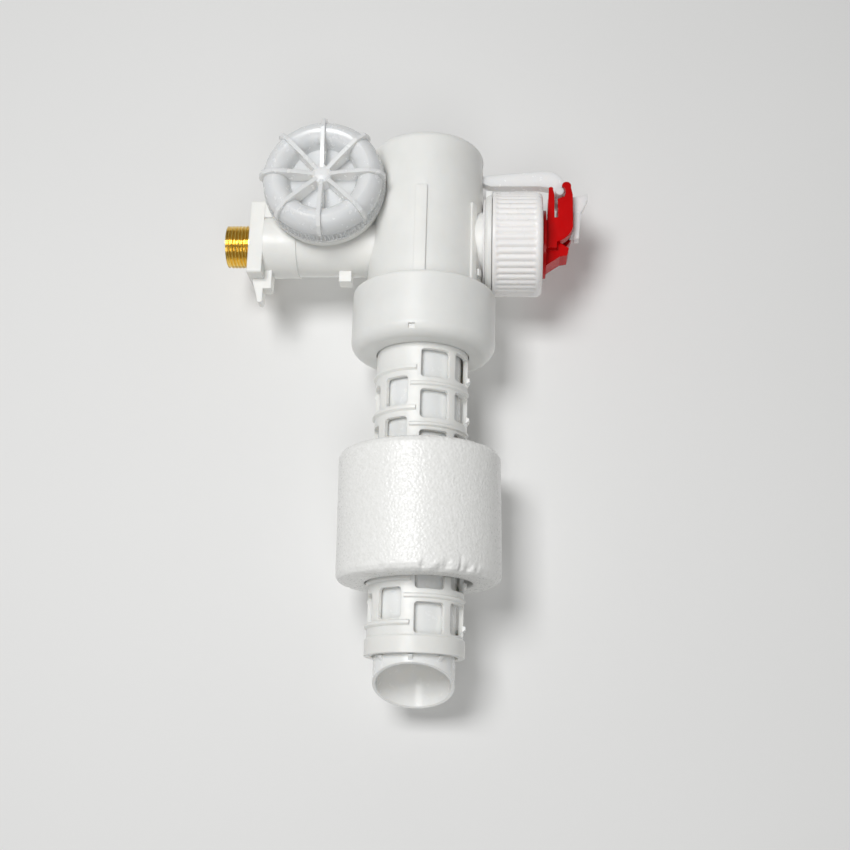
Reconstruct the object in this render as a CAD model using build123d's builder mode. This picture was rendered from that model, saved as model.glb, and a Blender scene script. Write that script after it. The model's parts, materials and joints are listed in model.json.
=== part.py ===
"""Side-inlet float valve with an adjustable float on a windowed carriage.

Row frame: origin on the inlet axis at the outer face of the inlet flange, +X into the valve,
+Z up along the riser, -Y to the front, where the stop wheel faces. Millimetres throughout.
"""
from build123d import *
import math
import os

os.makedirs("parts", exist_ok=True)

# --- driving dimensions ------------------------------------------------------------------
THREAD_R = 8.33          # G 3/8 external thread, major radius
NIPPLE_LENGTH = 9.8     # threaded length in front of the flange
NIPPLE_BORE_R = 5.5

TUBE_X = 68.1            # riser, barrel and float share this vertical axis
PORT_Z = 1.0             # height of the pilot valve's axis
WHEEL_X = 29.9           # stop wheel axis
WHEEL_Z = 17.2

WALL = 1.8               # general moulding wall
RUN = 0.3                # running gap between loose moving mouldings
SEAT_GAP = 0.05          # gap between pieces of one assembly that fit together

BARREL_TOP = 39.7
BARREL_BOTTOM = -32.0
BARREL_TOP_R = 22.0
BARREL_LOW_R = 22.4
BARREL_TOP_FILLET = 3.5

SKIRT_R = 27.4
SKIRT_TOP = -21.1
SKIRT_BOTTOM = -46.0
SKIRT_WALL = 1.6

RISER_R = 14.6
RISER_BORE_R = 13.4
RISER_TOP = -14.0
RISER_FRONT_LIP = -161.9
RISER_BACK_TIP = -175.6

CARRIAGE_R = 17.3
CARRIAGE_BORE_R = 15.5
CARRIAGE_TOP = -20.0
CARRIAGE_BOTTOM = -159.0
CARRIAGE_LEG_TOP = 26.0
CARRIAGE_LIFT = 6.0
RIDGE_R = 18.2
WINDOW_PITCH = 15.5      # window rows and float notches along the carriage
WINDOW_HEIGHT = 10.9
WINDOW_CORNER = 1.3

FLOAT_R = 30.2
FLOAT_BORE_R = 19.6
FLOAT_TILT = 1.0         # the loose sleeve hangs slightly askew
FLOAT_SHIFT = 0.4
FLOAT_CHAMFER = 2.2
FLOAT_TOP = -84.6
FLOAT_BOTTOM = -132.7

NUT_R = 20.3
NUT_START = TUBE_X + 25.8
NUT_END = TUBE_X + 45.2

PIN_X = TUBE_X + 51.9    # pivot of the pilot arm
PIN_Z = 20.5

TUBE_AXIS = Axis((TUBE_X, 0, 0), (0, 0, 1))
PORT_AXIS = Axis((0, 0, PORT_Z), (1, 0, 0))
INLET_AXIS = Axis((0, 0, 0), (1, 0, 0))
WHEEL_AXIS = Axis((WHEEL_X, 0, WHEEL_Z), (0, 1, 0))

TUBE_PLANE = Plane(origin=(TUBE_X, 0, 0), x_dir=(1, 0, 0), z_dir=(0, -1, 0))
PORT_PLANE = Plane(origin=(0, 0, PORT_Z), x_dir=(1, 0, 0), z_dir=(0, -1, 0))
INLET_PLANE = Plane.XZ
WHEEL_PLANE = Plane(origin=(WHEEL_X, 0, WHEEL_Z), x_dir=(1, 0, 0), z_dir=(0, 0, 1))


def outline(*points):
    """Make a closed face from corner points in the sketch that is open."""
    Polygon(*points, align=None)


def radial_plane(azimuth):
    """Half plane through the tube axis; azimuth 0 faces the front and 90 faces +X."""
    turn = math.radians(azimuth)
    outward = (math.sin(turn), -math.cos(turn), 0)
    across = (-math.cos(turn), -math.sin(turn), 0)
    return Plane(origin=(TUBE_X, 0, 0), x_dir=outward, z_dir=across)


def wall_plane(azimuth, distance):
    """Plane facing outward from the tube axis, with its local x to the right and y up."""
    turn = math.radians(azimuth)
    outward = (math.sin(turn), -math.cos(turn), 0)
    rightward = (math.cos(turn), math.sin(turn), 0)
    origin = (TUBE_X + outward[0] * distance, outward[1] * distance, 0)
    return Plane(origin=origin, x_dir=rightward, z_dir=outward)


def o_ring(path_plane, section_radius, centre, axis):
    """Torus seal whose round section sits at centre in the plane and turns about the axis."""
    with BuildPart() as seal:
        with BuildSketch(path_plane):
            with Locations(centre):
                Circle(section_radius)
        revolve(axis=axis)
    return seal


def finish(piece, label):
    """Name one finished piece and write it out."""
    piece.part.label = label
    export_step(piece.part, f"parts/{label}.step")


def barrel_radius(height):
    """Outer radius of the drafted barrel at a height."""
    share = (BARREL_TOP - height) / (BARREL_TOP - BARREL_BOTTOM)
    return BARREL_TOP_R + share * (BARREL_LOW_R - BARREL_TOP_R)


# --- valve body: inlet boss, wheel chamber, conduit and barrel in one moulding ---------------
FLANGE_THICK = 5.6
FLANGE_SIZE = 30.2
FLANGE_FRONT = -10.5
FLANGE_BACK = 12.5
RELIEF_R = 9.2
RELIEF_DEPTH = 0.4
BOSS_R = 12.3
BOSS_END = 18.6
BOSS_BORE_R = 7.7
BOSS_BORE_END = 15.0
DUCT_R = 11.8
DUCT_BORE_R = 9.9
DUCT_START = 21.0
CHAMBER_R = 18.5
CHAMBER_FRONT = -15.5
CHAMBER_BACK = 11.0
NECK_R = 16.0
NECK_FRONT = -22.0
CHAMBER_BORE_R = 10.5
PARTITION_FRONT = 1.0
PARTITION_BACK = 3.0
THROTTLE_SEAT_R = 5.0
SUPPLY_Z = 12.5
SUPPLY_R = 5.0
SUPPLY_BORE_R = 3.8
RETURN_R = 6.3
RETURN_BORE_R = 5.0
SEAT_X = NUT_START + 4.3
STUB_R = 12.5
STUB_BORE_R = 11.0
STUB_END = TUBE_X + 25.0
SPIGOT_R = RISER_BORE_R - SEAT_GAP
SPIGOT_BORE_R = 11.8
SPIGOT_BOTTOM = -26.0
SPIGOT_TOP = -7.0
CLIP_SLOT_X = 9.0
COLLAR_R = 22.4
COLLAR_BACK = -12.6
CLIP_THICK = 2.2

with BuildPart() as valve_body:
    with BuildSketch(TUBE_PLANE) as barrel_section:
        outline((0, BARREL_BOTTOM), (BARREL_LOW_R, BARREL_BOTTOM), (BARREL_TOP_R, BARREL_TOP), (0, BARREL_TOP))
        fillet(barrel_section.vertices().group_by(Axis.Y)[-1].sort_by(Axis.X)[-1], BARREL_TOP_FILLET)
    revolve(axis=TUBE_AXIS)
    with BuildSketch(Plane.YZ.offset(FLANGE_THICK)):
        Circle(BOSS_R)
    extrude(amount=BOSS_END - FLANGE_THICK)
    with BuildSketch(Plane.YZ.offset(BOSS_END)):
        Circle(DUCT_R)
    extrude(amount=TUBE_X - BOSS_END)
    with BuildSketch(Plane.YZ):
        with Locations(((FLANGE_FRONT + FLANGE_BACK) / 2, 0)):
            RectangleRounded(FLANGE_BACK - FLANGE_FRONT, FLANGE_SIZE, 1.0)
    extrude(amount=FLANGE_THICK)
    # shallow relief round the nipple, so that a washer lies flat on the flange
    with BuildSketch(Plane.YZ):
        Circle(RELIEF_R)
    extrude(amount=RELIEF_DEPTH, mode=Mode.SUBTRACT)
    with BuildSketch(Plane.XZ.offset(-CHAMBER_BACK)):
        with Locations((WHEEL_X, WHEEL_Z)):
            Circle(CHAMBER_R)
    extrude(amount=CHAMBER_BACK - CHAMBER_FRONT)
    with BuildSketch(Plane.XZ.offset(-CHAMBER_FRONT)):
        with Locations((WHEEL_X, WHEEL_Z)):
            Circle(NECK_R)
    extrude(amount=CHAMBER_FRONT - NECK_FRONT)
    with BuildSketch(Plane.XZ.offset(-COLLAR_BACK)):
        with Locations((WHEEL_X, WHEEL_Z)):
            Circle(COLLAR_R)
    extrude(amount=COLLAR_BACK - CHAMBER_FRONT)
    # the small moulded nub under the conduit
    with Locations((WHEEL_X + 7.3, 0, -DUCT_R - 1.5)):
        Box(4.8, 6.0, 5.0)
    # thumb tongue hanging from the flange, the tab behind it and the web above the boss
    with BuildSketch(Plane.XZ.offset(-2.0)):
        with BuildLine():
            Polyline((0.6, -14.0), (2.6, -20.6), (3.4, -23.6))
            ThreePointArc((3.4, -23.6), (4.6, -24.9), (5.4, -23.4))
            Polyline((5.4, -23.4), (5.6, -14.0), (0.6, -14.0))
        make_face()
        with Locations((FLANGE_THICK + 1.4, -15.0)):
            Rectangle(3.2, 8.4)
    extrude(amount=6.0)
    with BuildSketch(Plane.XZ.offset(-8.0)):
        outline((FLANGE_THICK - 0.6, 14.6), (FLANGE_THICK + 0.6, 14.2), (12.5, 8.0), (FLANGE_THICK - 0.6, 8.0))
    extrude(amount=18.4)
    # hollow barrel, open at the bottom
    with BuildSketch(TUBE_PLANE):
        outline((0, BARREL_BOTTOM), (BARREL_LOW_R - WALL, BARREL_BOTTOM),
                (BARREL_TOP_R - WALL, BARREL_TOP - WALL), (0, BARREL_TOP - WALL))
    revolve(axis=TUBE_AXIS, mode=Mode.SUBTRACT)
    # port stub, supply duct and return duct cross the barrel
    with BuildSketch(Plane.YZ.offset(TUBE_X + 19.0)):
        with Locations((0, PORT_Z)):
            Circle(STUB_R)
    extrude(amount=STUB_END - TUBE_X - 19.0)
    with BuildSketch(Plane.YZ.offset(TUBE_X + 20.8)):
        with Locations((0, PORT_Z)):
            Circle(STUB_BORE_R)
    extrude(amount=STUB_END - TUBE_X - 20.8, mode=Mode.SUBTRACT)
    with BuildSketch(Plane.YZ.offset(TUBE_X)):
        with Locations((0, PORT_Z)):
            Circle(RETURN_R)
    extrude(amount=SEAT_X - TUBE_X)
    with BuildSketch(Plane.YZ.offset(TUBE_X - 21.0)):
        with Locations((0, SUPPLY_Z)):
            Circle(SUPPLY_R)
    extrude(amount=41.0)
    # spigot that carries the riser, with its closed top and down pipe
    with BuildSketch(TUBE_PLANE):
        outline((0, SPIGOT_BOTTOM), (SPIGOT_R, SPIGOT_BOTTOM), (SPIGOT_R, SPIGOT_TOP),
                (RETURN_R, SPIGOT_TOP), (RETURN_R, PORT_Z), (0, PORT_Z))
    revolve(axis=TUBE_AXIS)
    with BuildSketch(TUBE_PLANE):
        outline((0, SPIGOT_BOTTOM), (SPIGOT_BORE_R, SPIGOT_BOTTOM), (SPIGOT_BORE_R, SPIGOT_TOP - WALL),
                (RETURN_BORE_R, SPIGOT_TOP - WALL), (RETURN_BORE_R, PORT_Z), (0, PORT_Z))
    revolve(axis=TUBE_AXIS, mode=Mode.SUBTRACT)
    with BuildSketch(TUBE_PLANE):
        with Locations((SPIGOT_R, -20.0)):
            Rectangle(1.6, 1.8)
    revolve(axis=TUBE_AXIS, mode=Mode.SUBTRACT)
    with BuildSketch(Plane.YZ.offset(TUBE_X)):
        with Locations((0, PORT_Z)):
            Circle(RETURN_BORE_R)
    extrude(amount=SEAT_X - TUBE_X, mode=Mode.SUBTRACT)
    # water ways of the inlet side
    with BuildSketch(Plane.YZ):
        Circle(BOSS_BORE_R + SEAT_GAP)
    extrude(amount=BOSS_BORE_END, mode=Mode.SUBTRACT)
    with BuildSketch(Plane.YZ.offset(BOSS_BORE_END)):
        Circle(4.5)
    extrude(amount=8.5, mode=Mode.SUBTRACT)
    with BuildSketch(Plane.XY.offset(0)):
        with Locations((20.5, 5.5)):
            Circle(3.2)
    extrude(amount=WHEEL_Z, mode=Mode.SUBTRACT)
    with BuildSketch(Plane.XZ.offset(-9.0)):
        with Locations((WHEEL_X - 2.5, WHEEL_Z)):
            SlotOverall(20.0, 12.0)
    extrude(amount=9.0 - PARTITION_BACK, mode=Mode.SUBTRACT)
    with BuildSketch(Plane.XZ.offset(-PARTITION_BACK)):
        with Locations((WHEEL_X, WHEEL_Z)):
            Circle(THROTTLE_SEAT_R)
    extrude(amount=PARTITION_BACK - PARTITION_FRONT, mode=Mode.SUBTRACT)
    with BuildSketch(Plane.XZ.offset(-PARTITION_FRONT)):
        with Locations((WHEEL_X, WHEEL_Z)):
            Circle(CHAMBER_BORE_R)
    extrude(amount=PARTITION_FRONT - NECK_FRONT, mode=Mode.SUBTRACT)
    with BuildSketch(Plane.YZ.offset(WHEEL_X + 9.0)):
        with Locations((0, SUPPLY_Z)):
            Circle(SUPPLY_BORE_R)
    extrude(amount=TUBE_X + 22.0 - WHEEL_X - 9.0, mode=Mode.SUBTRACT)
    # arm slot in the right wall of the barrel
    with Locations((TUBE_X + 19.0, 0, 30.0)):
        Box(8.0, 6.4, 12.4, mode=Mode.SUBTRACT)
    # clip slot across the boss, open at the back
    with Locations((CLIP_SLOT_X, 6.0, 0)):
        Box(CLIP_THICK + 2 * SEAT_GAP, 14.0, 16.2, mode=Mode.SUBTRACT)
    # long guide ribs on the barrel
    for azimuth, rib_top, rib_arc in ((-7.7, 15.5, 11.3), (53.0, 12.6, 8.0)):
        with BuildSketch(radial_plane(azimuth)):
            outline((barrel_radius(rib_top) - 0.5, rib_top), (barrel_radius(rib_top) + 0.8, rib_top),
                    (barrel_radius(SKIRT_TOP) + 0.8, SKIRT_TOP + SEAT_GAP),
                    (barrel_radius(SKIRT_TOP) - 0.5, SKIRT_TOP + SEAT_GAP))
        revolve(axis=TUBE_AXIS, revolution_arc=rib_arc)
    # small stop beside the second rib
    with BuildSketch(wall_plane(66.0, BARREL_LOW_R - 0.6)):
        with Locations((0, -15.0)):
            Rectangle(2.2, 2.6)
    extrude(amount=1.8)
finish(valve_body, "valve_body")

# --- guide skirt: thin cup under the barrel ------------------------------------------------------
SKIRT_BEND = 5.0
with BuildPart() as guide_skirt:
    with BuildSketch(TUBE_PLANE) as skirt_section:
        with BuildLine():
            Polyline((barrel_radius(SKIRT_TOP) + 0.1, SKIRT_TOP), (SKIRT_R, SKIRT_TOP),
                     (SKIRT_R, SKIRT_BOTTOM + SKIRT_BEND))
            RadiusArc((SKIRT_R, SKIRT_BOTTOM + SKIRT_BEND), (SKIRT_R - SKIRT_BEND, SKIRT_BOTTOM), SKIRT_BEND)
            Polyline((SKIRT_R - SKIRT_BEND, SKIRT_BOTTOM), (CARRIAGE_R + RUN, SKIRT_BOTTOM),
                     (CARRIAGE_R + RUN, SKIRT_BOTTOM + SKIRT_WALL), (SKIRT_R - SKIRT_BEND, SKIRT_BOTTOM + SKIRT_WALL))
            RadiusArc((SKIRT_R - SKIRT_BEND, SKIRT_BOTTOM + SKIRT_WALL),
                      (SKIRT_R - SKIRT_WALL, SKIRT_BOTTOM + SKIRT_BEND), SKIRT_WALL - SKIRT_BEND)
            Polyline((SKIRT_R - SKIRT_WALL, SKIRT_BOTTOM + SKIRT_BEND), (SKIRT_R - SKIRT_WALL, SKIRT_TOP - WALL),
                     (barrel_radius(SKIRT_TOP) + 0.2, SKIRT_TOP - WALL), (barrel_radius(SKIRT_TOP) + 0.1, SKIRT_TOP))
        make_face()
        fillet(skirt_section.vertices().group_by(Axis.Y)[-1].sort_by(Axis.X)[-1], 1.4)
    revolve(axis=TUBE_AXIS)
    # moulded gate recess near the lower front edge
    with BuildSketch(wall_plane(-5.5, SKIRT_R - 1.1)):
        with Locations((0, SKIRT_BOTTOM + 2.9)):
            Rectangle(2.4, 1.8)
    extrude(amount=2.0, mode=Mode.SUBTRACT)
finish(guide_skirt, "guide_skirt")

# --- riser tube with a mitred mouth ----------------------------------------------------------------
MITRE = math.degrees(math.atan2(RISER_FRONT_LIP - RISER_BACK_TIP, 2 * RISER_R))
LUG_TOP = CARRIAGE_BOTTOM - RUN
with BuildPart() as riser_tube:
    with BuildSketch(Plane.XY.offset(RISER_BACK_TIP)):
        with Locations((TUBE_X, 0)):
            Circle(RISER_R)
            Circle(RISER_BORE_R, mode=Mode.SUBTRACT)
    extrude(amount=RISER_TOP - RISER_BACK_TIP)
    mitre_plane = Plane(origin=(TUBE_X, RISER_R, RISER_BACK_TIP), x_dir=(1, 0, 0),
                        z_dir=(0, math.sin(math.radians(MITRE)), math.cos(math.radians(MITRE))))
    split(bisect_by=mitre_plane, keep=Keep.TOP)
    # snap lugs that the carriage hangs on
    for azimuth in (-50.0, -4.0, 38.0, 130.0, 176.0, 218.0):
        with BuildSketch(radial_plane(azimuth)):
            outline((RISER_R - 0.4, LUG_TOP), (RISER_R + 1.2, LUG_TOP),
                    (RISER_R + 1.2, LUG_TOP - 0.5), (RISER_R - 0.4, LUG_TOP - 2.4))
        revolve(axis=TUBE_AXIS, revolution_arc=6.0)
finish(riser_tube, "riser_tube")

riser_seal = o_ring(TUBE_PLANE, 0.38, (12.96, -20.0), TUBE_AXIS)
finish(riser_seal, "riser_seal")

# --- inlet nipple, its seal, clip, strainer and flow limiter -----------------------------------------
NIPPLE_END = 13.5
with BuildPart() as inlet_nipple:
    with BuildSketch(INLET_PLANE):
        outline((-NIPPLE_LENGTH, NIPPLE_BORE_R), (-NIPPLE_LENGTH, THREAD_R - 0.9),
                (-NIPPLE_LENGTH + 0.9, THREAD_R), (-0.05, THREAD_R), (-0.05, BOSS_BORE_R),
                (CLIP_SLOT_X - 1.3, BOSS_BORE_R), (CLIP_SLOT_X - 1.3, 6.6), (CLIP_SLOT_X + 1.3, 6.6),
                (CLIP_SLOT_X + 1.3, BOSS_BORE_R), (11.1, BOSS_BORE_R), (11.1, 6.5), (12.7, 6.5),
                (12.7, BOSS_BORE_R), (NIPPLE_END, BOSS_BORE_R), (NIPPLE_END, NIPPLE_BORE_R))
    revolve(axis=INLET_AXIS)
finish(inlet_nipple, "inlet_nipple")

nipple_seal = o_ring(INLET_PLANE, 0.58, (11.9, 7.12), INLET_AXIS)
finish(nipple_seal, "nipple_seal")

with BuildPart() as retaining_clip:
    with BuildSketch(Plane.YZ.offset(CLIP_SLOT_X - CLIP_THICK / 2)):
        with Locations((6.2, 0)):
            Rectangle(13.2, 16.0)
        Circle(6.7, mode=Mode.SUBTRACT)
        with Locations((-3.0, 0)):
            Rectangle(6.0, 13.4, mode=Mode.SUBTRACT)
    extrude(amount=CLIP_THICK)
finish(retaining_clip, "retaining_clip")

STRAINER_R = 5.3
with BuildPart() as inlet_strainer:
    with BuildSketch(INLET_PLANE):
        outline((-9.2, 4.0), (-9.2, STRAINER_R), (-7.8, STRAINER_R), (-7.8, 4.8), (3.2, 4.8), (3.2, 0), (2.4, 0), (2.4, 4.0))
    revolve(axis=INLET_AXIS)
finish(inlet_strainer, "inlet_strainer")

with BuildPart() as flow_limiter:
    with BuildSketch(INLET_PLANE):
        outline((5.0, 1.8), (5.0, 5.3), (8.0, 5.3), (8.0, 2.4))
    revolve(axis=INLET_AXIS)
finish(flow_limiter, "flow_limiter")

# --- stop wheel and the throttle that it drives -----------------------------------------------------
WHEEL_BASE = -17.2
WHEEL_CREST = -30.0
WHEEL_R = 23.4
FIN_COUNT = 8
FIN_THICK = 1.6
SPINDLE_R = 2.6
with BuildPart() as stop_wheel:
    with BuildSketch(WHEEL_PLANE):
        with BuildLine():
            Polyline((NECK_R + 1.0, WHEEL_BASE), (WHEEL_R, WHEEL_BASE), (WHEEL_R, -18.2), (WHEEL_R - 0.5, -18.5),
                     (WHEEL_R - 0.5, -22.6))
            ThreePointArc((WHEEL_R - 0.5, -22.6), (21.7, -27.6), (18.2, WHEEL_CREST))
            ThreePointArc((18.2, WHEEL_CREST), (14.8, -28.4), (13.2, -25.4))
            Polyline((13.2, -25.4), (12.6, -23.6), (4.6, -23.6), (3.6, -28.2), (0, -28.6), (0, -7.0),
                     (SPINDLE_R, -7.0), (SPINDLE_R, -22.2), (13.4, -22.2))
            ThreePointArc((13.4, -22.2), (15.4, -26.6), (18.2, WHEEL_CREST + WALL))
            ThreePointArc((18.2, WHEEL_CREST + WALL), (20.6, -26.6), (21.4, -22.6))
            Polyline((21.4, -22.6), (21.4, -18.4), (NECK_R + 1.0, -18.4), (NECK_R + 1.0, WHEEL_BASE))
        make_face()
    revolve(axis=WHEEL_AXIS)
    for index in range(FIN_COUNT):
        fin_turn = math.radians(index * 360 / FIN_COUNT)
        fin_plane = Plane(origin=(WHEEL_X, 0, WHEEL_Z), x_dir=(math.cos(fin_turn), 0, math.sin(fin_turn)),
                          z_dir=(-math.sin(fin_turn), 0, math.cos(fin_turn)))
        with BuildSketch(fin_plane):
            outline((2.6, -22.6), (2.6, -28.4), (10.0, -30.2), (18.2, -31.4), (22.4, -29.6), (24.0, -26.4),
                    (24.0, -24.2), (22.4, -20.6), (21.8, -20.6), (21.6, -25.4), (18.2, -29.0), (14.4, -26.6),
                    (13.0, -22.6))
        extrude(amount=FIN_THICK / 2, both=True)
finish(stop_wheel, "stop_wheel")

GLAND_FRONT = -21.6
GLAND_BACK = -14.0
with BuildPart() as spindle_gland:
    with BuildSketch(WHEEL_PLANE):
        outline((SPINDLE_R + 0.05, GLAND_BACK), (CHAMBER_BORE_R - SEAT_GAP, GLAND_BACK),
                (CHAMBER_BORE_R - SEAT_GAP, -16.6), (CHAMBER_BORE_R - 1.3, -16.6), (CHAMBER_BORE_R - 1.3, -18.2),
                (CHAMBER_BORE_R - SEAT_GAP, -18.2), (CHAMBER_BORE_R - SEAT_GAP, GLAND_FRONT),
                (SPINDLE_R + 0.05, GLAND_FRONT))
    revolve(axis=WHEEL_AXIS)
finish(spindle_gland, "spindle_gland")

gland_seal = o_ring(WHEEL_PLANE, 0.55, (9.85, -17.4), WHEEL_AXIS)
finish(gland_seal, "gland_seal")

with BuildPart() as wheel_clip_ring:
    with BuildSketch(WHEEL_PLANE):
        outline((NECK_R + SEAT_GAP, -20.4), (20.6, -20.4), (20.6, -18.6), (NECK_R + SEAT_GAP, -18.6))
    revolve(axis=WHEEL_AXIS)
finish(wheel_clip_ring, "wheel_clip_ring")

THROTTLE_TRAVEL = 4.0
with BuildPart() as throttle_plug:
    with BuildSketch(WHEEL_PLANE):
        outline((0, -4.4), (8.0, -4.4), (8.0, -6.2), (4.6, -6.2), (4.6, -13.2), (SPINDLE_R + 0.08, -13.2),
                (SPINDLE_R + 0.08, -5.8), (0, -5.8))
    revolve(axis=WHEEL_AXIS)
    # two wings steady the plug in the chamber bore
    with Locations((WHEEL_X, -8.6, WHEEL_Z)):
        Box(15.6, 4.8, 1.6)
    with BuildSketch(WHEEL_PLANE):
        with Locations((SPINDLE_R / 2 + 0.04, -9.6)):
            Rectangle(SPINDLE_R + 0.08, 7.6)
    revolve(axis=WHEEL_AXIS, mode=Mode.SUBTRACT)
finish(throttle_plug, "throttle_plug")

with BuildPart() as throttle_seal:
    with BuildSketch(WHEEL_PLANE):
        outline((0, -4.35), (7.4, -4.35), (7.4, -3.2), (0, -3.2))
    revolve(axis=WHEEL_AXIS)
finish(throttle_seal, "throttle_seal")

# --- pilot valve: port housing, nut, cover, diaphragm and jet ------------------------------------------
HOUSING_START = TUBE_X + 23.3
HOUSING_END = NUT_START + 10.3
THREADED_R = 17.6
with BuildPart() as port_housing:
    with BuildSketch(PORT_PLANE):
        outline((HOUSING_START, STUB_R + SEAT_GAP), (HOUSING_START, 17.8), (HOUSING_START + 0.9, 19.0),
                (NUT_START, 19.4), (NUT_START, THREADED_R), (HOUSING_END, THREADED_R), (HOUSING_END, 12.6),
                (HOUSING_START + 2.0, 12.6), (HOUSING_START + 2.0, STUB_R + SEAT_GAP))
    revolve(axis=PORT_AXIS)
    # anti-turn lug on the front of the collar
    with Locations((NUT_START - 1.2, -8.4, PORT_Z + 15.4)):
        Box(2.4, 5.0, 4.6)
    with BuildSketch(PORT_PLANE):
        outline((HOUSING_START - 3.0, 0), (HOUSING_START - 3.0, 12.6), (HOUSING_END, 12.6), (HOUSING_END, 0))
    revolve(axis=PORT_AXIS, mode=Mode.SUBTRACT)
finish(port_housing, "port_housing")

with BuildPart() as port_lock_ring:
    with BuildSketch(PORT_PLANE):
        outline((TUBE_X + 22.5, STUB_R + SEAT_GAP), (TUBE_X + 22.5, 17.4),
                (HOUSING_START - SEAT_GAP, 17.4), (HOUSING_START - SEAT_GAP, STUB_R + SEAT_GAP))
    revolve(axis=PORT_AXIS)
finish(port_lock_ring, "port_lock_ring")

COVER_START = HOUSING_END + 1.6
COVER_FLANGE_END = NUT_END - 2.4
with BuildPart() as union_nut:
    with BuildSketch(PORT_PLANE) as nut_section:
        outline((NUT_START + 0.3, THREADED_R + 0.1), (NUT_START + 0.3, NUT_R), (NUT_END, NUT_R), (NUT_END, 13.4),
                (COVER_FLANGE_END + SEAT_GAP, 13.4), (COVER_FLANGE_END + SEAT_GAP, THREADED_R + 0.1))
        fillet(nut_section.vertices().group_by(Axis.X)[-1].sort_by(Axis.Y)[-1], 2.2)
    revolve(axis=PORT_AXIS)
finish(union_nut, "union_nut")

CHEEK_GAP = 2.6          # half the gap between the two bearing cheeks
CHEEK_THICK = 4.2
CHEEK_LEFT = NUT_END + 2.0
CHEEK_RIGHT = CHEEK_LEFT + 9.8
PIN_R = 1.6
JET_Z = 5.4              # the jet sits above the nut's axis
JET_TIP = PIN_X + 0.9
with BuildPart() as pilot_cover:
    with BuildSketch(PORT_PLANE):
        outline((COVER_START, 11.5), (COVER_START, THREADED_R), (COVER_FLANGE_END, THREADED_R),
                (COVER_FLANGE_END, 13.2), (NUT_END + 1.4, 13.2), (NUT_END + 1.4, 0),
                (COVER_START + 3.4, 0), (COVER_START + 3.4, 11.5))
    revolve(axis=PORT_AXIS)
    for side in (-1, 1):
        cheek_front = side * (CHEEK_GAP + CHEEK_THICK / 2) + CHEEK_THICK / 2
        with BuildSketch(Plane.XZ.offset(-cheek_front)):
            with BuildLine():
                Polyline((CHEEK_LEFT, -0.7), (CHEEK_LEFT, 9.0), (CHEEK_LEFT + 0.5, 21.6))
                ThreePointArc((CHEEK_LEFT + 0.5, 21.6), (CHEEK_LEFT + 1.3, 22.5), (CHEEK_LEFT + 2.2, 21.4))
                Polyline((CHEEK_LEFT + 2.2, 21.4), (CHEEK_LEFT + 2.7, 19.0), (CHEEK_LEFT + 2.7, 9.5),
                         (CHEEK_LEFT + 4.0, 9.5), (CHEEK_LEFT + 4.0, 17.4), (PIN_X + 1.8, 18.4))
                ThreePointArc((PIN_X + 1.8, 18.4), (PIN_X + 2.3, 20.8), (PIN_X + 0.9, 22.9))
                ThreePointArc((PIN_X + 0.9, 22.9), (PIN_X + 2.5, 24.7), (PIN_X + 4.4, 22.4))
                Polyline((PIN_X + 4.4, 22.4), (CHEEK_RIGHT, 19.0), (CHEEK_RIGHT, 5.6))
                ThreePointArc((CHEEK_RIGHT, 5.6), (CHEEK_RIGHT - 2.6, 1.2), (CHEEK_RIGHT - 6.4, -0.7))
                Polyline((CHEEK_RIGHT - 6.4, -0.7), (CHEEK_LEFT, -0.7))
            make_face()
            with Locations((PIN_X, PIN_Z)):
                Circle(PIN_R + 0.06, mode=Mode.SUBTRACT)
        extrude(amount=CHEEK_THICK)
    # hub web behind the cheeks and the gusset below them
    with Locations(((NUT_END + CHEEK_LEFT + 3.6) / 2, 0, 2.6)):
        Box(CHEEK_LEFT + 3.6 - NUT_END, 2 * (CHEEK_GAP + CHEEK_THICK), 11.6)
    with BuildSketch(Plane.XZ.offset(-4.4)):
        outline((NUT_END + 1.0, 0.0), (CHEEK_RIGHT - 5.0, 0.0), (CHEEK_RIGHT - 1.5, -2.4), (CHEEK_RIGHT - 2.2, -5.4),
                (CHEEK_RIGHT - 5.0, -5.9), (NUT_END + 1.0, -10.0))
    extrude(amount=8.8)
    # jet bore and the room around the jet
    with BuildSketch(Plane.YZ.offset(COVER_START + 2.0)):
        with Locations((0, JET_Z)):
            Circle(1.85)
    extrude(amount=20.0, mode=Mode.SUBTRACT)
    with Locations((CHEEK_LEFT + 9.1, 0, 5.6)):
        Box(10.0, 2 * CHEEK_GAP, 11.6, mode=Mode.SUBTRACT)
    with BuildSketch(Plane.YZ.offset(COVER_START + 3.0)):
        with Locations((9.0, PORT_Z)):
            Circle(0.62)
    extrude(amount=2.2, mode=Mode.SUBTRACT)
finish(pilot_cover, "pilot_cover")

JET_PLANE = Plane(origin=(0, 0, JET_Z), x_dir=(1, 0, 0), z_dir=(0, -1, 0))
with BuildPart() as pilot_jet:
    with BuildSketch(JET_PLANE):
        outline((COVER_START + 3.4, 0.6), (COVER_START + 3.4, 1.8), (JET_TIP - 1.2, 1.8), (JET_TIP, 1.1), (JET_TIP, 0.6))
    revolve(axis=Axis((0, 0, JET_Z), (1, 0, 0)))
finish(pilot_jet, "pilot_jet")

with BuildPart() as metering_pin:
    with BuildSketch(Plane.YZ.offset(HOUSING_END - 2.0)):
        with Locations((9.0, PORT_Z)):
            Circle(0.55)
    extrude(amount=COVER_START + 4.6 - HOUSING_END + 2.0)
finish(metering_pin, "metering_pin")

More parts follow.
